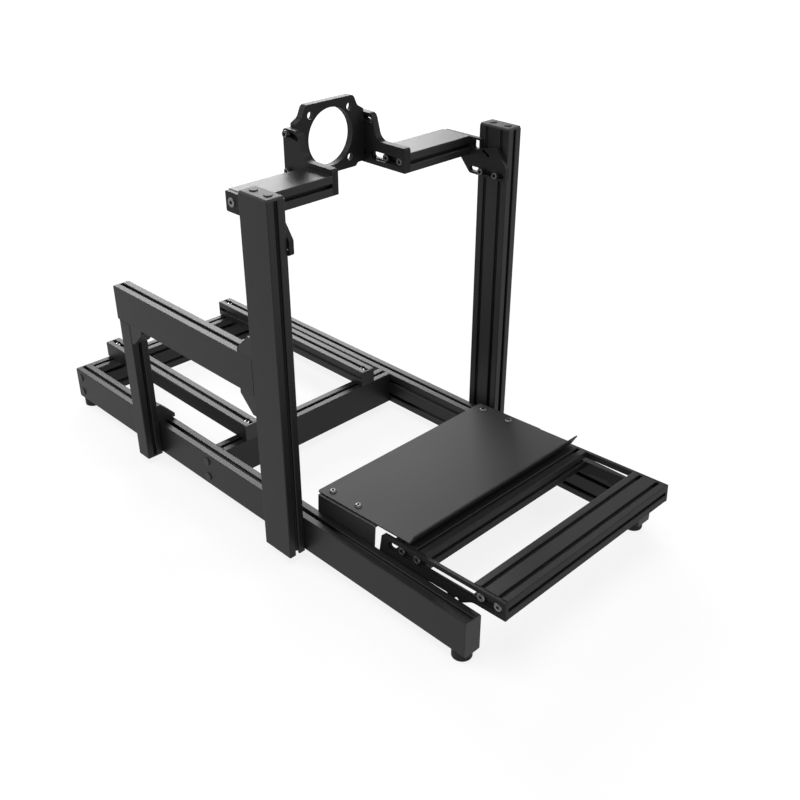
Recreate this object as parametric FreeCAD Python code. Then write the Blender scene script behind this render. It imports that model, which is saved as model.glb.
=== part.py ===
import FreeCAD, Part
import math
import os

os.makedirs("parts", exist_ok=True)

V = FreeCAD.Vector

# Driving dimensions, in millimetres.
# Lengths along X are counted from the rear of the side rails, heights from their underside.
# The right side is -Y, seen from the seat.

# Extruded bar section
module = 40.0
edge_radius = 2.0
slot_mouth = 8.2
slot_lip = 4.5
slot_bevel = 1.2
slot_chamber = 20.0
slot_depth = 12.2
slot_floor = 9.6
chamber_height = 2.7
core_radius = 3.4
cap_thickness = 3.0
cap_trim = 0.4

# Base frame
frame_length = 1350.0
frame_width = 592.0
foot_height = 20.0
foot_radius = 20.0
foot_inset = 25.0
foot_round = 2.0
rear_bar_at = 0.0
middle_bar_at = 551.0
seat_rail_spacing = 360.0
seat_rail_rear = 0.0
seat_rail_front = 590.0
seat_hole_radius = 7.5
cover_radius = 9.5
cover_height = 3.0
cover_edge = 1.8

# Uprights
upright_at = 826.5
upright_bottom = -2.0
upright_top = 752.5
upright_cap_height = 5.0
upright_cap_trim = 0.2
upright_cap_corner = 4.0
upright_cap_round = 3.2
plug_radius = 8.0
plug_height = 2.0
plug_round = 1.4

# Wheel arms and the plates that hold them
arm_reach = 15.5
arm_drop = 25.1
arm_bolt_radius = 4.5
arm_plate_thickness = 10.0
arm_plate_inset = 2.0
arm_plate_tail = 43.0
arm_plate_heel = 35.0
arm_plate_hang = 39.4
arm_plate_nose = 5.0
arm_plate_chin = 28.5
arm_plate_brow = 22.0
arm_plate_brow_drop = 12.4
arm_plate_step = 15.0
arm_plate_step_drop = 21.4
arm_plate_top_drop = 1.0
arm_plate_slot_drop = 29.0
arm_plate_slot_half = 5.5
arm_plate_slot_inset = 10.5
arm_plate_slot_length = 85.0
window_back = 7.0
window_width = 18.5
window_top = 5.2
window_height = 19.0
window_corner = 3.5
side_slot_ahead = 21.5
side_slot_run = 13.6
side_slot_fall = 8.0
side_slot_top = 25.0
side_slot_half = 3.5
trim_slot_half = 4.5

# Wheel brackets and motor plate
bracket_gap = 180.0
bracket_thickness = 15.0
bracket_back = 6.0
bracket_tower_top = 44.0
bracket_foot_round = 23.0
bracket_top_round = 13.0
bracket_tower_foot = 59.5
bracket_low_height = 51.0
bracket_rise = 34.3
bracket_counter_half = 9.0
bracket_counter_depth = 7.0
bracket_slot_half = 6.5
bracket_slot_reach = 77.0
tilt_radius = 74.0
tilt_range = 21.0
tilt_slot_half = 5.5
pivot_drop = 49.0
pivot_slot_length = 8.0
motor_plate_thickness = 15.0
motor_plate_back = 56.0
motor_axis_rise = 30.0
motor_bore_radius = 58.5
motor_bolt_spacing = 102.5
motor_bolt_radius = 7.5
motor_counter_radius = 12.0
motor_counter_depth = 9.0
motor_top_rise = 73.0
motor_bottom_drop = 73.9
motor_top_half = 63.2
motor_neck_half = 73.1
motor_neck_drop = 22.3
motor_waist_half = 66.0
motor_ear_drop = 32.0
motor_ear_rise = 7.0

# Shifter arm and post
shifter_arm_rear = 340.0
shifter_arm_top = 428.0
shifter_post_at = 343.0
shifter_post_bottom = -3.0
corner_leg = 45.0
corner_toe = 9.0
corner_width = 38.0
corner_round = 2.0

# Pedal deck, level sizes counted from the axis of its rear bar
deck_tilt = 2.5
deck_from_front = 184.0
deck_height = 107.0
deck_bar_spacing = 198.5
deck_plate_thickness = 7.0
deck_plate_drop = 1.2
deck_plate_rear = 65.0
deck_plate_bevel = 7.0
deck_plate_slope = 22.0
deck_plate_root = 94.0
deck_plate_root_end = 36.0
deck_plate_belly = 35.0
deck_nose_length = 77.5
deck_belly_length = 103.0
deck_slot_half = 9.6
deck_slot_depth = 3.8
deck_slot_through_half = 5.2
deck_slot_rear = 45.5
deck_slot_inset = 18.5
deck_notch_start = 50.0
deck_notch_length = 50.0
deck_notch_height = 4.5
deck_nick_at = 122.3
deck_nick_radius = 5.4
deck_nose_round = 25.0
foot_slot_start = 72.0
foot_slot_length = 22.0

# Heel plate and its supports, from the same axis
heel_sheet = 3.0
heel_side_gap = 6.0
heel_rear = 265.5
heel_front = 0.5
heel_lift = 4.0
heel_corner = 5.0
heel_lip = 28.0
heel_lip_angle = 58.0
heel_support_leg = 42.0
heel_support_rear = 257.0
heel_support_front = 90.5
heel_support_drop = 78.0
heel_support_lean = 8.0
heel_support_corner = 4.0

# Values that follow from the driving dimensions
tall = 2 * module
half_module = module / 2
rail_outer = frame_width / 2
rail_inner = rail_outer - module
upright_outer = rail_outer + module
upright_front = upright_at + tall
arm_inner = bracket_gap / 2 + bracket_thickness
arm_outer = rail_outer - arm_plate_thickness
arm_front = upright_at - arm_reach
arm_rear = arm_front - tall
arm_axis_at = arm_rear + module
arm_top = upright_top - arm_drop
arm_bottom = arm_top - module
arm_middle = arm_bottom + half_module
motor_plate_at = arm_rear - motor_plate_back
motor_axis_height = arm_top + motor_axis_rise
motor_plate_top = motor_axis_height + motor_top_rise
motor_plate_bottom = motor_axis_height - motor_bottom_drop
shifter_arm_low = shifter_arm_top - tall
seat_rail_low = seat_rail_spacing / 2 - half_module
deck_at = frame_length - deck_from_front
deck_front = deck_bar_spacing + module
deck_bar_reach = rail_inner - deck_plate_thickness
overall_front = (deck_at + deck_front * math.cos(math.radians(deck_tilt))
                 + half_module * math.sin(math.radians(deck_tilt)))
overall_rear = min(0.0, seat_rail_rear - cap_thickness)
middle_x = (overall_front + overall_rear) / 2
clear = 1.0

CROSS = {"X": ("Y", "Z"), "Y": ("Z", "X"), "Z": ("X", "Y")}
AXIS = {"X": V(1, 0, 0), "Y": V(0, 1, 0), "Z": V(0, 0, 1)}


def at(x, y, z):
    """A point given from the rear of the rails and their underside, in the part's own frame."""
    return V(x - middle_x, y, z + foot_height)


def deck(u, y, w):
    """A point of the still level pedal deck, counted from the axis of its rear bar."""
    return at(deck_at + u, y, deck_height + w)


def save(name, shape):
    """Writes one named piece."""
    shape.exportStep("parts/" + name + ".step")


def unit(start, end):
    """The direction from one flat point to another and the distance between them."""
    du = end[0] - start[0]
    dv = end[1] - start[1]
    length = math.hypot(du, dv)
    return (du / length, dv / length), length


def rounded_corner(before, corner, after):
    """Start, middle and end of the arc that rounds a corner (u, v, radius)."""
    u, v, radius = corner
    back, _ = unit(corner, before)
    ahead, _ = unit(corner, after)
    if radius <= 0:
        return (u, v), (u, v), (u, v)
    cosine = max(-1.0, min(1.0, back[0] * ahead[0] + back[1] * ahead[1]))
    half = math.acos(cosine) / 2
    reach = radius / math.tan(half)
    inset = radius / math.sin(half) - radius
    size = math.hypot(back[0] + ahead[0], back[1] + ahead[1])
    towards = ((back[0] + ahead[0]) / size, (back[1] + ahead[1]) / size)
    start = (u + back[0] * reach, v + back[1] * reach)
    middle = (u + towards[0] * inset, v + towards[1] * inset)
    end = (u + ahead[0] * reach, v + ahead[1] * reach)
    return start, middle, end


def rounded(corners, to_frame):
    """A closed wire through (u, v, radius) corners."""
    count = len(corners)
    arcs = [rounded_corner(corners[i - 1], corners[i], corners[(i + 1) % count]) for i in range(count)]
    edges = []
    for i in range(count):
        start, middle, end = arcs[i]
        following = arcs[(i + 1) % count][0]
        if corners[i][2] > 0:
            edges.append(Part.Arc(to_frame(*start), to_frame(*middle), to_frame(*end)).toShape())
        edges.append(Part.makeLine(to_frame(*end), to_frame(*following)))
    return Part.Wire(edges)


def straight_slot(start, end, half, to_frame):
    """A round-ended slot between two end centres, as a wire."""
    along, _ = unit(start, end)
    side = (-along[1] * half, along[0] * half)
    a = (start[0] + side[0], start[1] + side[1])
    b = (end[0] + side[0], end[1] + side[1])
    c = (end[0] - side[0], end[1] - side[1])
    d = (start[0] - side[0], start[1] - side[1])
    tip = (end[0] + along[0] * half, end[1] + along[1] * half)
    tail = (start[0] - along[0] * half, start[1] - along[1] * half)
    return Part.Wire([
        Part.makeLine(to_frame(*a), to_frame(*b)),
        Part.Arc(to_frame(*b), to_frame(*tip), to_frame(*c)).toShape(),
        Part.makeLine(to_frame(*c), to_frame(*d)),
        Part.Arc(to_frame(*d), to_frame(*tail), to_frame(*a)).toShape(),
    ])


def curved_slot(centre, radius, low, high, half, to_frame):
    """A round-ended slot along an arc, as a wire; angles in degrees from the second direction."""
    def spot(r, angle):
        turn = math.radians(angle)
        return to_frame(centre[0] + r * math.sin(turn), centre[1] + r * math.cos(turn))
    middle = (low + high) / 2
    overrun = math.degrees(half / radius)
    outer = radius + half
    inner = radius - half
    return Part.Wire([
        Part.Arc(spot(outer, low), spot(outer, middle), spot(outer, high)).toShape(),
        Part.Arc(spot(outer, high), spot(radius, high + overrun), spot(inner, high)).toShape(),
        Part.Arc(spot(inner, high), spot(inner, middle), spot(inner, low)).toShape(),
        Part.Arc(spot(inner, low), spot(radius, low - overrun), spot(outer, low)).toShape(),
    ])


def prism(wire, along):
    """The solid swept by a flat wire along a vector."""
    return Part.Face(wire).extrude(along)


def slot_section(face_at, across):
    """The undercut slot as (depth, side) corners, opening past the bar's face."""
    mouth = slot_mouth / 2
    chamber = slot_chamber / 2
    floor = slot_floor / 2
    shelf = slot_lip + chamber_height
    lip = [(-clear, mouth + slot_bevel + clear), (slot_bevel, mouth), (slot_lip, mouth)]
    half = lip + [(slot_lip, chamber), (shelf, chamber), (slot_depth, floor)]
    corners = [(depth, -side) for depth, side in half] + half[::-1]
    return [(face_at - depth, across + side) for depth, side in corners]


def bar_section(a_size, b_size, open_sides, a_name):
    """The bar's end face about its middle, with a slot row on each open side and its core bores."""
    a_half = a_size / 2
    b_half = b_size / 2
    flat = lambda u, v: V(u, v, 0)
    corners = [(-a_half, -b_half), (a_half, -b_half), (a_half, b_half), (-a_half, b_half)]
    face = Part.Face(rounded([(u, v, edge_radius) for u, v in corners], flat))
    for side in open_sides:
        sign = 1.0 if side[0] == "+" else -1.0
        on_a = side[1] == a_name
        face_at = a_half if on_a else b_half
        across = b_size if on_a else a_size
        count = round(across / module)
        for k in range(count):
            section = slot_section(face_at, (k - (count - 1) / 2) * module)
            points = [flat(sign * d, s) if on_a else flat(s, sign * d) for d, s in section]
            face = face.cut(Part.Face(Part.makePolygon(points + points[:1])))
    for i in range(round(a_size / module)):
        for j in range(round(b_size / module)):
            spot = flat((i + 0.5) * module - a_half, (j + 0.5) * module - b_half)
            face = face.cut(Part.Face(Part.Wire(Part.makeCircle(core_radius, spot))))
    return face.Faces[0]


def bar(along, corner, size, open_sides):
    """An extruded bar from its low corner, its size and the sides that have slots."""
    a_name, b_name = CROSS[along]
    a_size, b_size, length = (size["XYZ".index(name)] for name in (a_name, b_name, along))
    solid = bar_section(a_size, b_size, open_sides, a_name).extrude(V(0, 0, length))
    base = corner + AXIS[a_name] * (a_size / 2) + AXIS[b_name] * (b_size / 2)
    turn = FreeCAD.Rotation(AXIS[a_name], AXIS[b_name], AXIS[along], "ZXY")
    solid.Placement = FreeCAD.Placement(base, turn)
    return solid


def tilted(shape):
    """Turns a piece of the level pedal deck to the deck's slope."""
    shape.rotate(deck(0, 0, 0), V(0, 1, 0), -deck_tilt)
    return shape


def side_rails():
    """The two long rails of the base, smooth outside."""
    size = (frame_length - 2 * cap_thickness, module, tall)
    save("right_side_rail", bar("X", at(cap_thickness, -rail_outer, 0), size, ("+Z", "-Z", "+Y")))
    save("left_side_rail", bar("X", at(cap_thickness, rail_inner, 0), size, ("+Z", "-Z", "-Y")))


def cross_members():
    """The two standing bars between the rails."""
    size = (module, 2 * rail_inner, tall)
    save("rear_cross_member", bar("Y", at(rear_bar_at, -rail_inner, 0), size, ("+Z", "-Z", "+X")))
    save("middle_cross_member", bar("Y", at(middle_bar_at, -rail_inner, 0), size, ("+Z", "-Z", "-X")))


def seat_rail(side, open_sides):
    """A square bar that carries the seat, with holes in its slot for the screws below."""
    middle = side * seat_rail_spacing / 2
    size = (seat_rail_front - seat_rail_rear, module, module)
    rail = bar("X", at(seat_rail_rear, middle - half_module, tall), size, open_sides)
    for x in (rear_bar_at + half_module, middle_bar_at + half_module):
        foot = at(x, middle, tall + module - slot_depth)
        rail = rail.cut(Part.makeCylinder(seat_hole_radius, slot_depth + clear, foot))
    return rail


def seat_rails():
    """The two square bars that carry the seat."""
    save("right_seat_rail", seat_rail(-1, ("+Z", "-Z", "+Y")))
    save("left_seat_rail", seat_rail(1, ("+Z", "-Z", "-Y")))


def uprights():
    """The two posts outside the rails, and their caps."""
    size = (tall, module, upright_top - upright_bottom)
    right = at(upright_at, -upright_outer, upright_bottom)
    left = at(upright_at, rail_outer, upright_bottom)
    save("right_upright", bar("Z", right, size, ("+X", "-X", "+Y")))
    save("left_upright", bar("Z", left, size, ("+X", "-X", "-Y")))
    save("right_upright_cap", upright_cap(-upright_outer))
    save("left_upright_cap", upright_cap(rail_outer))


def upright_cap(y_low):
    """A moulded cap with rounded edges and two low round plugs."""
    trim = upright_cap_trim
    corner = at(upright_at + trim, y_low + trim, upright_top)
    cap = Part.makeBox(tall - 2 * trim, module - 2 * trim, upright_cap_height, corner)
    cap = cap.makeFillet(upright_cap_corner, [e for e in cap.Edges if e.BoundBox.ZLength > clear])
    top = cap.BoundBox.ZMax
    cap = cap.makeFillet(upright_cap_round, [e for e in cap.Edges if top - e.BoundBox.ZMin < 0.01])
    for step in (-half_module, half_module):
        foot = at(upright_at + module + step, y_low + half_module, upright_top + clear)
        plug = Part.makeCylinder(plug_radius, upright_cap_height - clear + plug_height, foot)
        rim = [e for e in plug.Edges if plug.BoundBox.ZMax - e.BoundBox.ZMin < 0.01]
        cap = cap.fuse(plug.makeFillet(plug_round, rim))
    return cap.removeSplitter()


def wheel_arms():
    """The two flat arms from the uprights in to the wheel brackets."""
    size = (tall, arm_outer - arm_inner, module)
    save("right_wheel_arm", bar("Y", at(arm_rear, -arm_outer, arm_bottom), size, ("+X", "-X", "-Z")))
    save("left_wheel_arm", bar("Y", at(arm_rear, arm_inner, arm_bottom), size, ("+X", "-X", "-Z")))


def bored(plate, y_low, thickness, radius, spots):
    """Drills round holes across a standing plate at (x, z) spots."""
    for x, z in spots:
        start = at(x, y_low - clear, z)
        plate = plate.cut(Part.makeCylinder(radius, thickness + 2 * clear, start, V(0, 1, 0)))
    return plate


def arm_plate(y_low):
    """The plate that joins a wheel arm to its upright, with its window and slots."""
    flat = lambda x, z: at(x, y_low, z)
    under = lambda x, z: at(x, y_low - clear, z)
    through = V(0, arm_plate_thickness + 2 * clear, 0)
    rear = arm_rear + arm_plate_inset
    low = arm_bottom - arm_plate_hang
    tail = rear + arm_plate_tail
    nose = upright_front + arm_plate_nose
    brow = upright_front - arm_plate_brow
    step = upright_at + arm_plate_step
    outline = [
        (rear, arm_top - arm_plate_top_drop, 3.0),
        (rear, arm_bottom, 3.0),
        (tail, arm_bottom, 8.0),
        (tail + arm_plate_heel, low, 8.0),
        (nose, low, 5.0),
        (nose, low + arm_plate_chin, 6.0),
        (brow, arm_top - arm_plate_brow_drop, 2.0),
        (step, arm_top - arm_plate_step_drop, 2.0),
        (step, arm_top - arm_plate_top_drop, 3.0),
    ]
    plate = prism(rounded(outline, flat), V(0, arm_plate_thickness, 0))
    window_rear = upright_at - window_back
    window_front = window_rear + window_width
    ceiling = arm_top - window_top
    sill = ceiling - window_height
    corners = [(window_rear, sill), (window_front, sill), (window_front, ceiling), (window_rear, ceiling)]
    line = arm_bottom - arm_plate_slot_drop
    end = nose - arm_plate_slot_inset
    side = (upright_at + side_slot_ahead, arm_top - side_slot_top)
    side_end = (side[0] + side_slot_run, side[1] - side_slot_fall)
    cuts = [
        rounded([(x, z, window_corner) for x, z in corners], under),
        straight_slot((end - arm_plate_slot_length, line), (end, line), arm_plate_slot_half, under),
        straight_slot(side, side_end, side_slot_half, under),
    ]
    for cut in cuts:
        plate = plate.cut(prism(cut, through))
    bolts = [(arm_axis_at - half_module, arm_middle), (arm_axis_at + half_module, arm_middle)]
    return bored(plate, y_low, arm_plate_thickness, arm_bolt_radius, bolts)


def wheel_bracket(side):
    """The thick bracket between a wheel arm and the motor plate, with its tilt slot."""
    y_low = bracket_gap / 2 if side > 0 else -arm_inner
    flat = lambda x, z: at(x, y_low, z)
    rear = motor_plate_at - bracket_back
    front = arm_axis_at + module
    low_top = arm_bottom + bracket_low_height
    tower_top = motor_axis_height + bracket_rise
    outline = [
        (rear, tower_top, 8.0),
        (rear, arm_bottom, 3.0),
        (front, arm_bottom, 2.0),
        (front, low_top, 5.0),
        (rear + bracket_tower_foot, low_top, bracket_foot_round),
        (rear + bracket_tower_top, tower_top, bracket_top_round),
    ]
    plate = prism(rounded(outline, flat), V(0, bracket_thickness, 0))
    through = V(0, bracket_thickness + 2 * clear, 0)
    under = lambda x, z: at(x, y_low - clear, z)
    pivot = (motor_plate_at + motor_plate_thickness / 2, motor_axis_height - pivot_drop)
    pivot_end = (pivot[0] + pivot_slot_length, pivot[1])
    slot_end = arm_axis_at + half_module + bracket_counter_half / 4
    slot_start = slot_end - bracket_slot_reach
    cuts = [
        curved_slot(pivot, tilt_radius, 0.0, tilt_range, tilt_slot_half, under),
        straight_slot(pivot, pivot_end, tilt_slot_half, under),
        straight_slot((slot_start, arm_middle), (slot_end, arm_middle), bracket_slot_half, under),
    ]
    for cut in cuts:
        plate = plate.cut(prism(cut, through))
    counter_low = y_low - clear if side > 0 else y_low + bracket_thickness - bracket_counter_depth
    seat = lambda x, z: at(x, counter_low, z)
    counter = straight_slot((slot_start, arm_middle), (slot_end, arm_middle), bracket_counter_half, seat)
    return plate.cut(prism(counter, V(0, bracket_counter_depth + clear, 0)))


def motor_plate():
    """The upright plate that a wheel motor bolts to, with room behind for the heads of its screws."""
    flat = lambda y, z: at(motor_plate_at, y, z)
    half = bracket_gap / 2
    shoulder = motor_plate_top - motor_ear_drop
    ear = motor_plate_bottom + motor_ear_rise
    left = [
        (motor_top_half, motor_plate_top, 10.5),
        (motor_neck_half, motor_plate_top - motor_neck_drop, 14.0),
        (half, shoulder, 3.0),
        (half, ear, 2.0),
        (motor_waist_half + 7.0, ear, 5.0),
        (motor_waist_half, motor_plate_bottom, 3.0),
    ]
    right = [(-y, z, r) for y, z, r in left[::-1]]
    plate = prism(rounded(left + right, flat), V(motor_plate_thickness, 0, 0))
    depth = motor_plate_thickness + 2 * clear
    start = motor_plate_at - clear
    plate = plate.cut(Part.makeCylinder(motor_bore_radius, depth, at(start, 0, motor_axis_height), V(1, 0, 0)))
    reach = motor_bolt_spacing / 2
    for y in (-reach, reach):
        for z in (motor_axis_height - reach, motor_axis_height + reach):
            plate = plate.cut(Part.makeCylinder(motor_bolt_radius, depth, at(start, y, z), V(1, 0, 0)))
            sink = motor_counter_depth + clear
            plate = plate.cut(Part.makeCylinder(motor_counter_radius, sink, at(start, y, z), V(1, 0, 0)))
    return plate


def shifter_bars():
    """The side arm from the right upright and the post that holds up its rear end."""
    arm_size = (upright_at - shifter_arm_rear, module, tall)
    arm_corner = at(shifter_arm_rear, -upright_outer, shifter_arm_low)
    post_low = shifter_post_bottom + cap_thickness
    post_size = (module, module, shifter_arm_low - post_low)
    post_corner = at(shifter_post_at, -upright_outer, post_low)
    save("shifter_arm", bar("X", arm_corner, arm_size, ("+Z", "-Z", "+Y")))
    save("shifter_post", bar("Z", post_corner, post_size, ("+X", "-X", "+Y")))


def corner_bracket(corner, first, second, width_axis):
    """A closed corner bracket: its inner corner, the directions of its legs and of its width."""
    start = corner - width_axis * (corner_width / 2)
    to_frame = lambda u, v: start + first * u + second * v
    outline = [
        (0, 0, 0),
        (corner_leg, 0, 0),
        (corner_leg, corner_toe, corner_round),
        (corner_toe, corner_leg, corner_round),
        (0, corner_leg, 0),
    ]
    return prism(rounded(outline, to_frame), width_axis * corner_width)


def corner_brackets():
    """The four corner brackets of the side arm and its post."""
    middle_y = half_module - upright_outer
    post_front = shifter_post_at + module
    up = V(0, 0, 1)
    left = V(0, 1, 0)
    ahead = V(1, 0, 0)
    post_top = at(post_front, middle_y, shifter_arm_low)
    arm_top_end = at(upright_at, middle_y, shifter_arm_top)
    arm_low_end = at(upright_at, middle_y, shifter_arm_low)
    post_foot = at(shifter_post_at + half_module, -rail_outer, tall)
    save("post_top_bracket", corner_bracket(post_top, ahead, -up, left))
    save("arm_top_bracket", corner_bracket(arm_top_end, -ahead, up, left))
    save("arm_bottom_bracket", corner_bracket(arm_low_end, -ahead, -up, left))
    save("post_foot_bracket", corner_bracket(post_foot, left, up, ahead))


def pedal_plate(side):
    """A side plate of the pedal deck, with its stepped pedal slot and the slot for its tilt."""
    y_low = rail_inner - deck_plate_thickness if side > 0 else -rail_inner
    flat = lambda u, w: deck(u, y_low, w)
    top = half_module - deck_plate_drop
    nose = deck_front - deck_nose_length
    belly = deck_front - deck_belly_length
    notch_end = deck_notch_start + deck_notch_length
    notch_top = deck_notch_height - deck_plate_belly
    outline = [
        (-deck_plate_rear, top, 1.0),
        (-deck_plate_rear - deck_plate_bevel, half_module - deck_plate_bevel, 1.0),
        (-deck_plate_rear - deck_plate_bevel - deck_plate_slope, -deck_plate_root, 10.0),
        (-deck_plate_root_end, -deck_plate_root, 10.0),
        (-deck_plate_root_end, -deck_plate_belly, 6.0),
        (deck_notch_start, -deck_plate_belly, 1.0),
        (deck_notch_start, notch_top, 3.0),
        (notch_end, notch_top, 3.0),
        (notch_end, -deck_plate_belly, 1.0),
        (belly, -deck_plate_belly, 4.0),
        (nose, -half_module, deck_nose_round),
        (deck_front, -half_module, 1.0),
        (deck_front, top, 1.0),
    ]
    plate = prism(rounded(outline, flat), V(0, deck_plate_thickness, 0))
    under = lambda u, w: deck(u, y_low - clear, w)
    through = V(0, deck_plate_thickness + 2 * clear, 0)
    slot_ends = ((-deck_slot_rear, 0), (deck_front - deck_slot_inset, 0))
    rail_slot = tall - half_module - deck_height
    foot_ends = ((-foot_slot_start, rail_slot), (foot_slot_length - foot_slot_start, rail_slot))
    cuts = [
        straight_slot(slot_ends[0], slot_ends[1], deck_slot_through_half, under),
        straight_slot(foot_ends[0], foot_ends[1], trim_slot_half, under),
    ]
    for cut in cuts:
        plate = plate.cut(prism(cut, through))
    recess_low = y_low + deck_plate_thickness - deck_slot_depth if side > 0 else y_low - clear
    recess = straight_slot(slot_ends[0], slot_ends[1], deck_slot_half, lambda u, w: deck(u, recess_low, w))
    plate = plate.cut(prism(recess, V(0, deck_slot_depth + clear, 0)))
    nick = deck(deck_nick_at, y_low - clear, -deck_plate_belly)
    return tilted(plate.cut(Part.makeCylinder(deck_nick_radius, through.y, nick, V(0, 1, 0))))


def pedal_bars():
    """The two flat bars that the pedals bolt to."""
    size = (tall, 2 * deck_bar_reach, module)
    sides = ("+Z", "+X", "-X")
    rear_corner = deck(-module, -deck_bar_reach, -half_module)
    front_corner = deck(deck_bar_spacing - module, -deck_bar_reach, -half_module)
    rear = bar("Y", rear_corner, size, sides)
    front = bar("Y", front_corner, size, sides)
    save("pedal_rear_bar", tilted(rear))
    save("pedal_front_bar", tilted(front))


def heel_plate():
    """A flat sheet with its front edge bent up."""
    half = rail_inner - heel_side_gap
    low = half_module + heel_lift
    high = low + heel_sheet
    bend = math.radians(heel_lip_angle)
    skew = heel_sheet * math.tan(bend / 2)
    tip = (-heel_front + heel_lip * math.cos(bend), low + heel_lip * math.sin(bend))
    side = lambda u, w: deck(u, -half, w)
    section = [
        (-heel_rear, low, 0),
        (-heel_front, low, heel_sheet),
        (tip[0], tip[1], 0),
        (tip[0] - heel_sheet * math.sin(bend), tip[1] + heel_sheet * math.cos(bend), 0),
        (-heel_front - skew, high, heel_sheet),
        (-heel_rear, high, 0),
    ]
    sheet = prism(rounded(section, side), V(0, 2 * half, 0))
    rear = deck(-heel_rear, 0, 0).x
    upright_edges = [e for e in sheet.Edges if e.BoundBox.XMax - rear < 0.01 and e.BoundBox.ZLength > clear]
    return tilted(sheet.makeFillet(heel_corner, upright_edges))


def heel_support(side):
    """A bent sheet that hangs the heel plate from the inside of a rail."""
    top = half_module + heel_lift
    low = top - heel_support_drop
    lean = heel_support_lean
    wall_low = rail_inner - heel_sheet if side > 0 else -rail_inner
    outline = [
        (-heel_support_rear, top, 0),
        (-heel_support_rear - lean, low, heel_support_corner),
        (-heel_support_front - lean, low, heel_support_corner),
        (-heel_support_front, top, 0),
    ]
    flat = lambda u, w: deck(u, wall_low, w)
    wall = prism(rounded(outline, flat), V(0, heel_sheet, 0))
    leg_low = rail_inner - heel_support_leg if side > 0 else -rail_inner
    leg = Part.makeBox(heel_support_rear - heel_support_front, heel_support_leg, heel_sheet,
                       deck(-heel_support_rear, leg_low, top - heel_sheet))
    return tilted(wall.fuse(leg).removeSplitter())


def cap_block(x_low, y_low, z_low, height):
    """One flat end cap, a hair smaller than the bar it closes."""
    trim = cap_trim
    corner = at(x_low, y_low + trim, z_low + trim)
    block = Part.makeBox(cap_thickness, module - 2 * trim, height - 2 * trim, corner)
    return block.makeFillet(edge_radius, [e for e in block.Edges if e.BoundBox.XLength > clear])


def post_cap():
    """The moulded cap under the open foot of the shifter post."""
    width = module - 2 * cap_trim
    corner = at(shifter_post_at + cap_trim, cap_trim - upright_outer, shifter_post_bottom)
    block = Part.makeBox(width, width, cap_thickness, corner)
    return block.makeFillet(edge_radius, [e for e in block.Edges if e.BoundBox.ZLength > clear])


def end_caps():
    """The moulded caps on the open ends of the level bars and of the post."""
    rail_ends = (0.0, frame_length - cap_thickness)
    seat_ends = (seat_rail_rear - cap_thickness, seat_rail_front)
    rails = [cap_block(x, y, 0.0, tall) for y in (-rail_outer, rail_inner) for x in rail_ends]
    seats = [cap_block(x, y, tall, module) for y in (-seat_rail_low - module, seat_rail_low) for x in seat_ends]
    save("side_rail_end_caps", Part.makeCompound(rails))
    save("seat_rail_end_caps", Part.makeCompound(seats))
    save("shifter_arm_cap", cap_block(shifter_arm_rear - cap_thickness, -upright_outer, shifter_arm_low, tall))
    save("shifter_post_cap", post_cap())


def bolt_covers():
    """The round covers over the bolts of the cross members, on both outer faces."""
    covers = []
    outer = rail_outer + cover_height
    for x in (rear_bar_at + half_module, middle_bar_at + half_module):
        for z in (half_module, tall - half_module):
            for side in (-1, 1):
                start = at(x, side * rail_outer, z)
                disc = Part.makeCylinder(cover_radius, cover_height, start, V(0, side, 0))
                rim = [e for e in disc.Edges if abs(side * e.CenterOfMass.y - outer) < 0.01]
                covers.append(disc.makeFillet(cover_edge, rim))
    return Part.makeCompound(covers)


def foot(x, side):
    """A round rubber foot under a rail."""
    centre = at(x, side * (rail_outer - half_module), -foot_height)
    pad = Part.makeCylinder(foot_radius, foot_height, centre)
    return pad.makeFillet(foot_round, [e for e in pad.Edges if e.BoundBox.ZMax < 0.01])


side_rails()
cross_members()
seat_rails()
uprights()
wheel_arms()
save("right_arm_plate", arm_plate(-rail_outer))
save("left_arm_plate", arm_plate(arm_outer))
save("right_wheel_bracket", wheel_bracket(-1))
save("left_wheel_bracket", wheel_bracket(1))
save("motor_plate", motor_plate())
shifter_bars()
corner_brackets()
save("right_pedal_plate", pedal_plate(-1))
save("left_pedal_plate", pedal_plate(1))
pedal_bars()
save("heel_plate", heel_plate())
save("right_heel_support", heel_support(-1))
save("left_heel_support", heel_support(1))
end_caps()
save("bolt_covers", bolt_covers())
save("right_rear_foot", foot(foot_inset, -1))
save("left_rear_foot", foot(foot_inset, 1))
save("right_front_foot", foot(frame_length - foot_inset, -1))
save("left_front_foot", foot(frame_length - foot_inset, 1))
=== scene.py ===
"""Looks of an open racing cockpit frame: black slotted bars, coated plates, screws and moulded caps."""

from __future__ import annotations

import logging
import math
from dataclasses import dataclass
from enum import Enum

import bmesh
import bpy
from mathutils import Matrix, Vector

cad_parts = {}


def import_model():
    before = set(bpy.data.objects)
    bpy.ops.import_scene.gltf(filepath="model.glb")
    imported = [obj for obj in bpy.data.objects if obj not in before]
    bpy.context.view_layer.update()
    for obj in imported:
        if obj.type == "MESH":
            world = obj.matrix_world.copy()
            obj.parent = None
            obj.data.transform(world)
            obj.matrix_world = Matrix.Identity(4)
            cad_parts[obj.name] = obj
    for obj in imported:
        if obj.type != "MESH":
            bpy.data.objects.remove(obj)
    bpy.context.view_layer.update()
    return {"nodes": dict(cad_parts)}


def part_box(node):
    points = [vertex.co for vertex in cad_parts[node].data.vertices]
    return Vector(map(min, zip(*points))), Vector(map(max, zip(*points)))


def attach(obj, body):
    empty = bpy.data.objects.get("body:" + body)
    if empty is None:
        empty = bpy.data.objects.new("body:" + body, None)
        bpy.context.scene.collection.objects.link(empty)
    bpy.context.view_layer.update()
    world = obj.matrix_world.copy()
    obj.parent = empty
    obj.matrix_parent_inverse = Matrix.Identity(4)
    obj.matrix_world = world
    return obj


LOG = logging.getLogger("cockpit")
MM = 0.001
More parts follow.
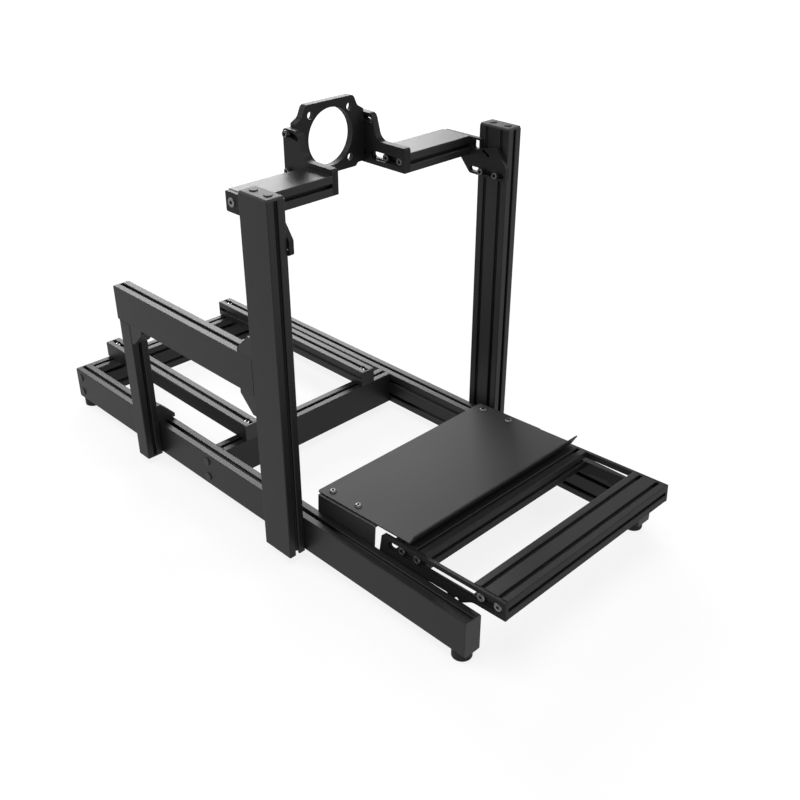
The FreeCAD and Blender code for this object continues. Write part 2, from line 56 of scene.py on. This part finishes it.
MIDDLE = (0.0, 0.0, 0.4)
WHITE = (1.0, 1.0, 1.0, 1.0)

Colour = tuple[float, float, float, float]
Triple = tuple[float, float, float]
Nodes = dict[str, bpy.types.Object]
Ring = list[bmesh.types.BMVert]


class Along(Enum):
    """The direction in which a bar was drawn, as an index of its axis."""

    X = 0
    Y = 1
    Z = 2


class Facing(Enum):
    """The direction in which a screw's head points."""

    RIGHT = (0.0, -1.0, 0.0)
    LEFT = (0.0, 1.0, 0.0)
    UP = (0.0, 0.0, 1.0)


SIDES = (("right", Facing.RIGHT, Facing.LEFT), ("left", Facing.LEFT, Facing.RIGHT))


class Socket:
    """A shader socket that can be used in plain arithmetic."""

    def __init__(self, shader: Shader, link: bpy.types.NodeSocket) -> None:
        """Wraps one output socket of a shader."""
        self.shader = shader
        self.link = link

    def _math(self, operation: str, *values: object) -> Socket:
        """Adds a Math node and returns its result."""
        return self.shader.node("ShaderNodeMath", {"operation": operation}, dict(enumerate(values)))[0]

    def __add__(self, other: object) -> Socket:
        """Sum."""
        return self._math("ADD", self, other)

    def __sub__(self, other: object) -> Socket:
        """Difference."""
        return self._math("SUBTRACT", self, other)

    def __mul__(self, other: object) -> Socket:
        """Product."""
        return self._math("MULTIPLY", self, other)

    def __rsub__(self, other: object) -> Socket:
        """Difference from a number."""
        return self._math("SUBTRACT", other, self)

    __radd__ = __add__

    def smooth(self, low: float, high: float) -> Socket:
        """A soft step from 0 at low to 1 at high."""
        settings = {"interpolation_type": "SMOOTHSTEP"}
        sockets = {"Value": self, "From Min": low, "From Max": high}
        return self.shader.node("ShaderNodeMapRange", settings, sockets)[0]


class Shader:
    """Builds one material's node tree."""

    def __init__(self, name: str) -> None:
        """Starts an empty material.

        Args:
            name: the material's name.
        """
        self.material = bpy.data.materials.new(name)
        self.material.use_nodes = True
        self.tree = self.material.node_tree
        self.tree.nodes.clear()

    def node(self, kind: str, settings: dict[str, object], sockets: dict[object, object]) -> list[Socket]:
        """Adds a node.

        Args:
            kind: the node's type.
            settings: its own settings, set first.
            sockets: values or links of its inputs, by name or index.

        Returns:
            Its output sockets.
        """
        made = self.tree.nodes.new(kind)
        for key, value in settings.items():
            setattr(made, key, value)
        for key, value in sockets.items():
            if isinstance(value, Socket):
                self.tree.links.new(value.link, made.inputs[key])
            else:
                made.inputs[key].default_value = value
        return [Socket(self, out) for out in made.outputs]

    def coordinates(self) -> Socket:
        """Object coordinates."""
        return self.node("ShaderNodeTexCoord", {}, {})[3]

    def noise(self, scale: Triple, detail: float) -> Socket:
        """Noise from 0 to 1, finer where the scale is larger."""
        place = self.node("ShaderNodeMapping", {}, {"Vector": self.coordinates(), "Scale": scale})[0]
        sockets = {"Vector": place, "Scale": 1.0, "Detail": detail, "Roughness": 0.5}
        return self.node("ShaderNodeTexNoise", {}, sockets)[0]

    def even_noise(self, scale: float, detail: float) -> Socket:
        """Noise of one scale in every direction."""
        return self.noise((scale,) * 3, detail)

    def mix(self, factor: object, first: object, second: object) -> Socket:
        """Blends two colours."""
        return self.node("ShaderNodeMix", {"data_type": "RGBA"}, {0: factor, 6: first, 7: second})[2]

    def painted_edge_highlight(self, radius: float) -> Socket:
        """A mask that is 1 on outer edges and 0 on flats, used to paint a highlight on the edges."""
        rounded = self.node("ShaderNodeBevel", {"samples": 4}, {"Radius": radius})[0]
        flat = self.node("ShaderNodeNewGeometry", {}, {})[1]
        alike = self.node("ShaderNodeVectorMath", {"operation": "DOT_PRODUCT"}, {0: rounded, 1: flat})[1]
        return (1.0 - alike).smooth(0.02, 0.2)

    def bump(self, height: Socket, strength: float, distance: float) -> Socket:
        """A normal raised by a height field."""
        sockets = {"Height": height, "Strength": strength, "Distance": distance}
        return self.node("ShaderNodeBump", {}, sockets)[0]

    def surface(self, **sockets: object) -> bpy.types.Material:
        """Ends the tree in one glossy surface, with names such as Base_Color.

        Args:
            sockets: the surface's inputs, with underscores for spaces.

        Returns:
            The finished material.
        """
        named = {key.replace("_", " "): value for key, value in sockets.items()}
        return self.end(self.node("ShaderNodeBsdfPrincipled", {}, named)[0])

    def end(self, result: Socket) -> bpy.types.Material:
        """Ends the tree in any shader, and returns the material."""
        self.node("ShaderNodeOutputMaterial", {}, {"Surface": result})
        return self.material


def grey(value: float) -> Colour:
    """A neutral colour with a faint cool cast."""
    return (value * 0.985, value * 0.995, value * 1.015, 1.0)


@dataclass(frozen=True)
class Anodised:
    """Black anodised aluminium with fine die lines along the bar."""

    along: Along
    suffix: str = ""
    tone: float = 0.011
    shine: float = 0.37
    specular: float = 0.39
    line_scale: float = 900.0
    line_stretch: float = 3.0
    drift_scale: float = 6.0
    speck_scale: float = 2600.0
    edge_radius: float = 0.6 * MM
    edge_highlight_tone: float = 0.09

    def build(self) -> bpy.types.Material:
        """Returns the material for bars that run this way."""
        shader = Shader("anodised_" + self.along.name.lower() + self.suffix)
        scale = [self.line_scale] * 3
        scale[self.along.value] = self.line_stretch
        lines = shader.noise(tuple(scale), 2.0)
        drift = shader.even_noise(self.drift_scale, 3.0)
        # Painted highlight: the base colour is lightened on outer edges, where light catches the rounding.
        edge = shader.painted_edge_highlight(self.edge_radius)
        speck = shader.even_noise(self.speck_scale, 1.0)
        body = shader.mix(drift, grey(self.tone * 0.8), grey(self.tone * 1.25))
        fine = shader.mix(lines * 0.35, body, grey(self.tone * 1.9))
        return shader.surface(
            Base_Color=shader.mix(edge * 0.35, fine, grey(self.edge_highlight_tone)),
            Roughness=self.shine + lines * 0.05 + drift * 0.04 + speck * 0.03,
            Metallic=0.0,
            Specular_IOR_Level=self.specular,
            Normal=shader.bump(lines * 0.7 + speck * 0.3, 0.05, 0.1 * MM),
        )


@dataclass(frozen=True)
class Coated:
    """Powder-coated plate with a fine orange-peel skin, faint clouds and dust."""

    name: str
    tone: float
    shine: float
    specular: float
    grain: float = 700.0
    relief: float = 0.08
    cloud_scale: float = 9.0
    dust_scale: float = 4200.0
    edge_radius: float = 0.8 * MM
    edge_highlight_tone: float = 0.1

    def build(self) -> bpy.types.Material:
        """Returns the coated material."""
        shader = Shader(self.name)
        peel = shader.even_noise(self.grain, 2.0)
        cloud = shader.even_noise(self.cloud_scale, 4.0)
        dust = shader.even_noise(self.dust_scale, 0.0).smooth(0.62, 0.8)
        # Painted highlight: the base colour is lightened on outer edges, where light catches the rounding.
        edge = shader.painted_edge_highlight(self.edge_radius)
        body = shader.mix(cloud, grey(self.tone * 0.82), grey(self.tone * 1.2))
        dusty = shader.mix(dust * 0.12, body, grey(self.tone * 3.0))
        return shader.surface(
            Base_Color=shader.mix(edge * 0.3, dusty, grey(self.edge_highlight_tone)),
            Roughness=self.shine + cloud * 0.06 + peel * 0.05 - edge * 0.08,
            Specular_IOR_Level=self.specular,
            Normal=shader.bump(peel, self.relief, 0.2 * MM),
        )


@dataclass(frozen=True)
class Moulded:
    """Moulded plastic or rubber with a spark-eroded grain."""

    name: str
    tone: float
    shine: float
    specular: float
    grain: float = 1500.0
    cloud_scale: float = 20.0

    def build(self) -> bpy.types.Material:
        """Returns the moulded material."""
        shader = Shader(self.name)
        grain = shader.even_noise(self.grain, 1.0)
        cloud = shader.even_noise(self.cloud_scale, 3.0)
        return shader.surface(
            Base_Color=shader.mix(cloud * 0.6 + grain * 0.3, grey(self.tone * 0.8), grey(self.tone * 1.3)),
            Roughness=self.shine + grain * 0.1,
            Specular_IOR_Level=self.specular,
            Normal=shader.bump(grain, 0.12, 0.2 * MM),
        )


@dataclass(frozen=True)
class Steel:
    """Plated or blackened steel of the screws, with painted shade darkening their sockets."""

    name: str
    tone: float
    shine: float
    stain_scale: float = 260.0
    fine_scale: float = 3000.0
    socket_shade: float = 0.96

    def build(self) -> bpy.types.Material:
        """Returns the metal."""
        shader = Shader(self.name)
        stain = shader.even_noise(self.stain_scale, 3.0)
        fine = shader.even_noise(self.fine_scale, 1.0)
        plated = shader.mix(stain, grey(self.tone * 0.85), grey(self.tone * 1.12))
        # Painted shade: the socket, marked on the pattern, is darkened towards black in the base colour.
        sunk = shader.node("ShaderNodeAttribute", {"attribute_name": "sunk"}, {})[2]
        return shader.surface(
            Base_Color=shader.mix(sunk * self.socket_shade, plated, grey(0.0)),
            Roughness=self.shine + stain * 0.08 + fine * 0.04,
            Metallic=1.0,
            Normal=shader.bump(fine, 0.05, 0.1 * MM),
        )


def dress(nodes: Nodes, names: list[str], material: bpy.types.Material) -> None:
    """Gives several frame pieces one finish.

    Args:
        nodes: the frame's pieces by name.
        names: the pieces to dress.
        material: their finish.
    """
    for name in names:
        data = nodes[name].data
        data.materials.clear()
        data.materials.append(material)


def show(name: str, data: bpy.types.Mesh) -> bpy.types.Object:
    """Puts a mesh into the scene as an object at the origin."""
    made = bpy.data.objects.new(name, data)
    bpy.context.scene.collection.objects.link(made)
    return made


def from_bmesh(name: str, shape: bmesh.types.BMesh) -> bpy.types.Object:
    """Turns a finished bmesh into an object in the scene."""
    bmesh.ops.recalc_face_normals(shape, faces=shape.faces)
    data = bpy.data.meshes.new(name)
    shape.to_mesh(data)
    shape.free()
    return show(name, data)


def smooth(piece: bpy.types.Object, angle: float) -> None:
    """Smooths a mesh except at edges sharper than an angle in degrees."""
    shape = bmesh.new()
    shape.from_mesh(piece.data)
    limit = math.radians(angle)
    for face in shape.faces:
        face.smooth = True
    for edge in shape.edges:
        edge.smooth = len(edge.link_faces) == 2 and edge.calc_face_angle(0.0) < limit
    shape.to_mesh(piece.data)
    shape.free()


def ring_of(shape: bmesh.types.BMesh, radius: float, height: float, turns: int) -> Ring:
    """One ring of points about Z."""
    angles = [2 * math.pi * step / turns for step in range(turns)]
    return [shape.verts.new((radius * math.cos(a), radius * math.sin(a), height)) for a in angles]


def bridge(shape: bmesh.types.BMesh, low: Ring, high: Ring) -> None:
    """Joins two rings of equal count with faces."""
    count = len(low)
    for step in range(count):
        after = (step + 1) % count
        shape.faces.new((low[step], low[after], high[after], high[step]))


def cap_ring(shape: bmesh.types.BMesh, ring: Ring, centre: bmesh.types.BMVert) -> None:
    """Closes a ring with triangles to one point."""
    count = len(ring)
    for step in range(count):
        shape.faces.new((ring[step], ring[(step + 1) % count], centre))


@dataclass(frozen=True)
class Screw:
    """A socket screw's head with its hexagon, drawn upwards from the seat plane.

    Attributes:
        hexagon: distance from the axis to a flat of the hexagon.
        depth: depth of the socket.
        dome: how far a rounded head draws in; a head without it has a bevel.
        rim_width: width of the chamfer round the hexagon, and chamfer its depth.
        drill_point: height of the socket's pointed floor, as a share of the hexagon.
    """

    name: str
    radius: float
    height: float
    hexagon: float
    depth: float
    dome: float = 0.0
    bevel: float = 0.6 * MM
    rim_width: float = 0.3 * MM
    chamfer: float = 0.3 * MM
    drill_point: float = 0.3
    dome_steps: int = 5
    turns: int = 36

    def corner(self) -> float:
        """The distance from the axis to a corner of the hexagon."""
        return self.hexagon / math.cos(math.pi / 6)

    def outline(self) -> list[tuple[float, float]]:
        """Radii and heights of the head's skin, from the seat up to the socket's rim."""
        points = [(self.radius, 0.0)]
        if self.dome:
            for step in range(1, self.dome_steps):
                angle = math.pi / 2 * step / self.dome_steps
                reach = self.radius - self.dome * (1 - math.cos(angle))
                points.append((reach, self.height * math.sin(angle)))
        else:
            points.append((self.radius, self.height - self.bevel))
            points.append((self.radius - self.bevel, self.height))
        points.append((self.corner() + self.rim_width, self.height))
        return points

    def hexagon_ring(self, shape: bmesh.types.BMesh, height: float) -> Ring:
        """A ring of points on the hexagon at a height."""
        ring = []
        for step in range(self.turns):
            angle = 2 * math.pi * step / self.turns
            local = angle % (math.pi / 3) - math.pi / 6
            reach = min(self.corner(), self.hexagon / math.cos(local))
            ring.append(shape.verts.new((reach * math.cos(angle), reach * math.sin(angle), height)))
        return ring

    def template(self) -> bpy.types.Object:
        """Returns the head as a hidden pattern object."""
        shape = bmesh.new()
        sunk = shape.verts.layers.float.new("sunk")
        rings = [ring_of(shape, radius, height, self.turns) for radius, height in self.outline()]
        floor = self.height - self.depth
        socket = [self.hexagon_ring(shape, height) for height in (self.height - self.chamfer, floor)]
        rings += socket
        for low, high in zip(rings, rings[1:]):
            bridge(shape, low, high)
        bottom = shape.verts.new((0.0, 0.0, floor - self.hexagon * self.drill_point))
        cap_ring(shape, rings[0], shape.verts.new((0.0, 0.0, 0.0)))
        cap_ring(shape, rings[-1], bottom)
        # Marks the socket's walls and floor, which the steel darkens as painted shade.
        for vert in socket[0] + socket[1] + [bottom]:
            vert[sunk] = 1.0
        pattern = from_bmesh(self.name + "_pattern", shape)
        pattern.hide_render = True
        return pattern


@dataclass(frozen=True)
class Seat:
    """Where one screw sits, and the way its head points."""

    place: Vector
    facing: Facing


@dataclass(frozen=True)
class Fixing:
    """One kind of screw on all its seats, with its finish and the seed of its random turns."""

    name: str
    screw: Screw
    seats: list[Seat]
    finish: bpy.types.Material
    seed: int


class Scatter:
    """Geometry Nodes that set one pattern on every seat, each turned at random about its axis."""

    def __init__(self, name: str) -> None:
        """Builds the node group.

        Args:
            name: the group's name.
        """
        self.group = bpy.data.node_groups.new(name, "GeometryNodeTree")
        self.group.interface.new_socket("Geometry", in_out="OUTPUT", socket_type="NodeSocketGeometry")
        self._input("Geometry", "Geometry")
        self.pattern_key = self._input("Pattern", "Object")
        self.size_key = self._input("Size", "Float")
        self.seed_key = self._input("Spin seed", "Int")
        self.finish_key = self._input("Finish", "Material")
        self._wire()

    def _input(self, name: str, kind: str) -> str:
        """Adds an input of the group, and returns its key."""
        face = self.group.interface
        return face.new_socket(name, in_out="INPUT", socket_type="NodeSocket" + kind).identifier

    def _node(self, kind: str, **settings: object) -> bpy.types.Node:
        """Adds a node with its settings."""
        made = self.group.nodes.new(kind)
        for key, value in settings.items():
            setattr(made, key, value)
        return made

    def _wire(self) -> None:
        """Joins the nodes from the seats to the finished mesh."""
        link = self.group.links.new
        source = self._node("NodeGroupInput")
        facing = self._node("GeometryNodeInputNamedAttribute", data_type="FLOAT_VECTOR")
        facing.inputs["Name"].default_value = "facing"
        align = self._node("FunctionNodeAlignRotationToVector", axis="Z")
        spin = self._node("FunctionNodeRandomValue", data_type="FLOAT")
        spin.inputs[2].default_value = 0.0
        spin.inputs[3].default_value = math.pi / 3
        turn = self._node("FunctionNodeAxisAngleToRotation")
        turn.inputs["Axis"].default_value = (0.0, 0.0, 1.0)
        local = self._node("FunctionNodeRotateRotation", rotation_space="LOCAL")
        pattern = self._node("GeometryNodeObjectInfo")
        instance = self._node("GeometryNodeInstanceOnPoints")
        realize = self._node("GeometryNodeRealizeInstances")
        finish = self._node("GeometryNodeSetMaterial")
        out = self._node("NodeGroupOutput")
        link(facing.outputs[0], align.inputs["Vector"])
        link(source.outputs["Spin seed"], spin.inputs["Seed"])
        link(spin.outputs[1], turn.inputs["Angle"])
        link(align.outputs[0], local.inputs[0])
        link(turn.outputs[0], local.inputs[1])
        link(source.outputs["Pattern"], pattern.inputs["Object"])
        link(source.outputs["Geometry"], instance.inputs["Points"])
        link(pattern.outputs["Geometry"], instance.inputs["Instance"])
        link(local.outputs[0], instance.inputs["Rotation"])
        link(source.outputs["Size"], instance.inputs["Scale"])
        link(instance.outputs[0], realize.inputs[0])
        link(realize.outputs[0], finish.inputs["Geometry"])
        link(source.outputs["Finish"], finish.inputs["Material"])
        link(finish.outputs[0], out.inputs[0])

    def set_out(self, fixing: Fixing) -> None:
        """Makes one plain mesh of a screw on all its seats.

        Args:
            fixing: the screw, its seats, finish and seed.
        """
        data = bpy.data.meshes.new(fixing.name)
        data.from_pydata([seat.place for seat in fixing.seats], [], [])
        facing = data.attributes.new("facing", "FLOAT_VECTOR", "POINT")
        for item, seat in zip(facing.data, fixing.seats):
            item.vector = seat.facing.value
        holder = show(fixing.name + "_seats", data)
        pattern = fixing.screw.template()
        modifier = holder.modifiers.new("set_out", "NODES")
        modifier.node_group = self.group
        modifier[self.pattern_key] = pattern
        modifier[self.size_key] = 1.0
        modifier[self.seed_key] = fixing.seed
        modifier[self.finish_key] = fixing.finish
        bpy.context.view_layer.update()
        graph = bpy.context.evaluated_depsgraph_get()
        mesh = bpy.data.meshes.new_from_object(holder.evaluated_get(graph))
        bpy.data.objects.remove(holder)
        bpy.data.objects.remove(pattern)
        made = show(fixing.name, mesh)
        smooth(made, 35.0)
        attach(made, "root")
        LOG.info("%s: %d on their seats, %d faces", fixing.name, len(fixing.seats), len(mesh.polygons))


def middle_of(node: str) -> Vector:
    """The middle of a frame piece's box."""
    low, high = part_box(node)
    return (low + high) / 2


def inner_outer(node: str, sign: float) -> tuple[float, float]:
    """A piece's inner and outer faces across the frame, on the side that the sign gives."""
    low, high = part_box(node)
    near, far = sorted((abs(low.y), abs(high.y)))
    return near * sign, far * sign


@dataclass(frozen=True)
class WheelMount:
    """Screws of the wheel arms, brackets and motor plate."""

    pivot_drop: float = 49.0 * MM
    tilt_radius: float = 74.0 * MM
    bolt_step: float = 20.0 * MM
    counter_depth: float = 7.0 * MM
    plate_slot_drop: float = 29.0 * MM
    axis_rise: float = 30.0 * MM

    def seats(self) -> dict[str, list[Seat]]:
        """Returns the seats of the tilt, arm, arm end and upright plate screws."""
        plate_x = middle_of("motor_plate").x
        found: dict[str, list[Seat]] = {"tilt": [], "arm": [], "arm_end": [], "upright": []}
        for side, outward, inward in SIDES:
            sign = outward.value[1]
            arm_low, arm_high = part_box(side + "_wheel_arm")
            middle = (arm_low + arm_high) / 2
            bracket_inner, bracket_outer = inner_outer(side + "_wheel_bracket", sign)
            plate_inner, plate_outer = inner_outer(side + "_arm_plate", sign)
            counter = bracket_inner + sign * self.counter_depth
            upright_x = middle_of(side + "_upright").x
            pivot = arm_high.z + self.axis_rise - self.pivot_drop
            for height in (pivot, pivot + self.tilt_radius):
                found["tilt"].append(Seat(Vector((plate_x, bracket_outer, height)), outward))
            for step in (-self.bolt_step, self.bolt_step):
                found["arm"].append(Seat(Vector((middle.x + step, counter, middle.z)), inward))
                found["arm_end"].append(Seat(Vector((middle.x + step, plate_outer, middle.z)), outward))
                slot = Vector((upright_x + step, plate_inner, arm_low.z - self.plate_slot_drop))
                found["upright"].append(Seat(slot, inward))
        return found


@dataclass(frozen=True)
class PedalDeck:
    """Screws of the pedal deck and the heel plate, on the deck's slope."""

    slope: float = 2.5
    bar_step: float = 20.0 * MM
    recess: float = 3.8 * MM
    heel_rows: tuple[float, float] = (-239.0 * MM, -163.0 * MM)
    heel_across: float = 231.5 * MM
    heel_top: float = 27.0 * MM

    def along(self, origin: Vector, u: float, w: float, y: float) -> Vector:
        """A point from distances along and across the slope."""
        c, s = math.cos(math.radians(self.slope)), math.sin(math.radians(self.slope))
        return Vector((origin.x + u * c - w * s, y, origin.z + u * s + w * c))

    def bar_screws(self, bar: str) -> list[Seat]:
        """Returns the seats of the screws in the ends of one pedal bar."""
        seats = []
        origin = middle_of(bar)
        for side, outward, _ in SIDES:
            sign = outward.value[1]
            floor = inner_outer(side + "_pedal_plate", sign)[1] - sign * self.recess
            for step in (-self.bar_step, self.bar_step):
                seats.append(Seat(self.along(origin, step, 0.0, floor), outward))
        return seats

    def heel_screws(self) -> list[Seat]:
        """Returns the seats of the button screws on the heel plate."""
        origin = middle_of("pedal_rear_bar")
        spots = [(u, y) for u in self.heel_rows for y in (-self.heel_across, self.heel_across)]
        return [Seat(self.along(origin, u, self.heel_top, y), Facing.UP) for u, y in spots]


@dataclass(frozen=True)
class SeatRails:
    """Screws that hold the seat rails, sunk in their slots."""

    slot_depth: float = 12.2 * MM

    def screws(self) -> list[Seat]:
        """Returns the seats of the sunk screws."""
        seats = []
        for rail in ("right_seat_rail", "left_seat_rail"):
            low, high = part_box(rail)
            for member in ("rear_cross_member", "middle_cross_member"):
                place = Vector((middle_of(member).x, (low.y + high.y) / 2, high.z - self.slot_depth))
                seats.append(Seat(place, Facing.UP))
        return seats


@dataclass(frozen=True)
class SoftBox:
    """A soft box that faces the middle of the object, with its power in watts."""

    name: str
    place: Triple
    size: tuple[float, float]
    power: float

    def hang(self) -> None:
        """Adds the lamp to the scene."""
        data = bpy.data.lights.new(self.name, "AREA")
        data.shape = "RECTANGLE"
        data.size, data.size_y = self.size
        data.energy = self.power
        made = bpy.data.objects.new(self.name, data)
        made.location = self.place
        made.rotation_mode = "QUATERNION"
        made.rotation_quaternion = (Vector(MIDDLE) - Vector(self.place)).to_track_quat("-Z", "Y")
        bpy.context.scene.collection.objects.link(made)


def towards(turn: float, rise: float, reach: float) -> Triple:
    """A place seen from the object at a turn about Z and a rise, in degrees."""
    level = reach * math.cos(math.radians(rise))
    height = MIDDLE[2] + reach * math.sin(math.radians(rise))
    return (level * math.cos(math.radians(turn)), level * math.sin(math.radians(turn)), height)


@dataclass(frozen=True)
class Studio:
    """Pale floor, glowing horizon, soft lights and the camera."""

    camera_place: Triple = (1.52134, -1.3298, 1.33771)
    camera_right: Triple = (0.705405, 0.708805, 0.000256)
    camera_down: Triple = (0.354884, -0.352869, -0.86576)
    camera_ahead: Triple = (-0.613565, 0.610802, -0.500459)
    lens: float = 45.62
    sensor: float = 36.0
    view_depth: tuple[float, float] = (0.05, 200.0)
    floor_size: float = 60.0
    floor_tone: float = 0.18
    shown_near: float = 0.845
    shown_far: float = 0.97
    mirrored_share: float = 0.62
    floor_fade: tuple[float, float] = (0.8, 6.0)
    wall_radius: float = 14.0
    wall_height: float = 4.6
    wall_turns: int = 96
    wall_light: float = 1.3
    sky: float = 0.1
    soft_boxes: tuple[SoftBox, ...] = (
        SoftBox("back_box", towards(145.0, 25.0, 5.0), (2.6, 1.8), 130.0),
        SoftBox("right_box", towards(219.0, 38.0, 4.5), (1.6, 1.6), 40.0),
        SoftBox("left_box", towards(51.0, 38.0, 4.5), (1.6, 1.6), 30.0),
        SoftBox("top_box", (0.4, -0.4, 3.6), (2.4, 2.4), 60.0),
    )

    def floor(self) -> None:
        """Lays the pale floor, which shows white and keeps a soft shadow."""
        shape = bmesh.new()
        half = self.floor_size / 2
        corners = ((-half, -half), (half, -half), (half, half), (-half, half))
        shape.faces.new([shape.verts.new((x, y, 0.0)) for x, y in corners])
        made = from_bmesh("floor", shape)
        shader = Shader("floor_paper")
        lit = shader.node("ShaderNodeBsdfDiffuse", {}, {"Color": (self.floor_tone,) * 3 + (1.0,)})[0]
        away = shader.node("ShaderNodeVectorMath", {"operation": "LENGTH"}, {0: shader.coordinates()})[1]
        near, far = ((share,) * 3 + (1.0,) for share in (self.shown_near, self.shown_far))
        tint = shader.mix(away.smooth(*self.floor_fade), near, far)
        glow = shader.node("ShaderNodeEmission", {}, {"Color": tint, "Strength": 1.0})[0]
        rays = shader.node("ShaderNodeLightPath", {}, {})
        seen = rays[0] + rays[3] * self.mirrored_share + rays[6]
        shown = shader.node("ShaderNodeAddShader", {}, {0: lit, 1: glow})[0]
        paper = shader.node("ShaderNodeMixShader", {}, {0: seen, 1: lit, 2: shown})[0]
        made.data.materials.append(shader.end(paper))

    def wall(self) -> None:
        """Stands a glowing round wall far behind everything, as a bright horizon."""
        shape = bmesh.new()
        low = ring_of(shape, self.wall_radius, 0.0, self.wall_turns)
        high = ring_of(shape, self.wall_radius, self.wall_height, self.wall_turns)
        bridge(shape, high, low)
        made = from_bmesh("wall", shape)
        shader = Shader("wall_glow")
        glow = shader.node("ShaderNodeEmission", {}, {"Strength": self.wall_light})[0]
        made.data.materials.append(shader.end(glow))

    def lights(self) -> None:
        """Sets the sky and the soft boxes."""
        world = bpy.data.worlds.new("sky")
        world.use_nodes = True
        background = world.node_tree.nodes["Background"]
        background.inputs["Color"].default_value = WHITE
        background.inputs["Strength"].default_value = self.sky
        bpy.context.scene.world = world
        for soft_box in self.soft_boxes:
            soft_box.hang()

    def camera(self) -> None:
        """Sets the camera where the picture was taken from."""
        data = bpy.data.cameras.new("camera")
        data.lens = self.lens
        data.sensor_width = self.sensor
        data.clip_start, data.clip_end = self.view_depth
        made = bpy.data.objects.new("camera", data)
        up = [-v for v in self.camera_down]
        back = [-v for v in self.camera_ahead]
        axes = Matrix((self.camera_right, up, back)).transposed()
        made.matrix_world = Matrix.Translation(self.camera_place) @ axes.to_4x4()
        bpy.context.scene.collection.objects.link(made)
        bpy.context.scene.camera = made

    def build(self) -> None:
        """Sets up everything about the object."""
        self.floor()
        self.wall()
        self.lights()
        self.camera()
        LOG.info("studio: floor, wall, %d soft boxes and camera", len(self.soft_boxes))


BARS = {
    Along.X: ["right_side_rail", "left_side_rail", "right_seat_rail", "left_seat_rail", "shifter_arm"],
    Along.Y: ["rear_cross_member", "middle_cross_member", "right_wheel_arm", "left_wheel_arm"],
    Along.Z: ["right_upright", "left_upright", "shifter_post"],
}
DULL_BARS = ["pedal_rear_bar", "pedal_front_bar"]
PLATES = ["right_arm_plate", "left_arm_plate", "right_wheel_bracket", "left_wheel_bracket", "motor_plate",
          "right_pedal_plate", "left_pedal_plate"]
SHEETS = ["heel_plate", "right_heel_support", "left_heel_support"]
BRACKETS = ["post_top_bracket", "arm_top_bracket", "arm_bottom_bracket", "post_foot_bracket"]
END_CAPS = ["side_rail_end_caps", "seat_rail_end_caps", "shifter_arm_cap", "shifter_post_cap",
            "bolt_covers"]
TOP_CAPS = ["right_upright_cap", "left_upright_cap"]
FEET = ["right_rear_foot", "left_rear_foot", "right_front_foot", "left_front_foot"]


def dress_frame(nodes: Nodes) -> None:
    """Gives every frame piece its finish."""
    for along, names in BARS.items():
        dress(nodes, names, Anodised(along).build())
    dull = Anodised(Along.Y, "_dull", tone=0.013, shine=0.47, specular=0.29)
    dress(nodes, DULL_BARS, dull.build())
    dress(nodes, PLATES, Coated("satin_plate", tone=0.011, shine=0.42, specular=0.22).build())
    dress(nodes, SHEETS, Coated("coated_sheet", tone=0.024, shine=0.5, specular=0.3).build())
    cast = Coated("cast_paint", tone=0.022, shine=0.42, specular=0.42, grain=500.0, relief=0.12)
    dress(nodes, BRACKETS, cast.build())
    dress(nodes, END_CAPS, Moulded("moulded_cap", tone=0.036, shine=0.42, specular=0.48).build())
    dress(nodes, TOP_CAPS, Moulded("moulded_top", tone=0.03, shine=0.5, specular=0.45).build())
    dress(nodes, FEET, Moulded("foot_rubber", tone=0.016, shine=0.6, specular=0.3).build())
    LOG.info("finishes on %d frame pieces", len(nodes))


def set_out_screws() -> None:
    """Puts every screw in its place."""
    dark = Steel("blackened_steel", tone=0.13, shine=0.34).build()
    bright = Steel("plated_steel", tone=0.5, shine=0.24).build()
    worn = Steel("worn_steel", tone=0.26, shine=0.4).build()
    polished = Steel("polished_dark_steel", tone=0.2, shine=0.22).build()
    cap = Screw("cap_screw", 7.2 * MM, 8.0 * MM, hexagon=3.0 * MM, depth=4.0 * MM)
    low = Screw("low_screw", 8.0 * MM, 5.0 * MM, hexagon=2.6 * MM, depth=3.0 * MM)
    wide = Screw("flat_head", 9.2 * MM, 2.4 * MM, hexagon=3.2 * MM, depth=1.4 * MM, bevel=0.8 * MM)
    flat = Screw("flat_screw", 9.2 * MM, 3.4 * MM, hexagon=2.6 * MM, depth=2.6 * MM, bevel=1.4 * MM)
    button = Screw("button_screw", 7.8 * MM, 4.2 * MM, hexagon=2.6 * MM, depth=2.8 * MM, dome=4.0 * MM)
    sunk = Screw("sunk_screw", 6.5 * MM, 8.0 * MM, hexagon=3.0 * MM, depth=4.0 * MM)
    mount = WheelMount().seats()
    deck = PedalDeck()
    scatter = Scatter("screws_on_seats")
    fixings = (
        Fixing("bracket_cap_screws", cap, mount["tilt"], dark, 3),
        Fixing("arm_screws", low, mount["arm"], dark, 5),
        Fixing("arm_end_screws", wide, mount["arm_end"], worn, 19),
        Fixing("arm_plate_screws", cap, mount["upright"], dark, 7),
        Fixing("pedal_rear_screws", flat, deck.bar_screws("pedal_rear_bar"), dark, 11),
        Fixing("pedal_front_screws", flat, deck.bar_screws("pedal_front_bar"), worn, 23),
        Fixing("heel_plate_screws", button, deck.heel_screws(), polished, 13),
        Fixing("seat_rail_screws", sunk, SeatRails().screws(), bright, 17),
    )
    for fixing in fixings:
        scatter.set_out(fixing)


def main() -> None:
    """Builds the looks in order."""
    logging.basicConfig(level=logging.INFO, format="%(name)s %(message)s")
    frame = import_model()
    dress_frame(frame["nodes"])
    set_out_screws()
    Studio().build()
    scene = bpy.context.scene
    scene.view_settings.view_transform = "Standard"


if __name__ == "__main__":
    main()
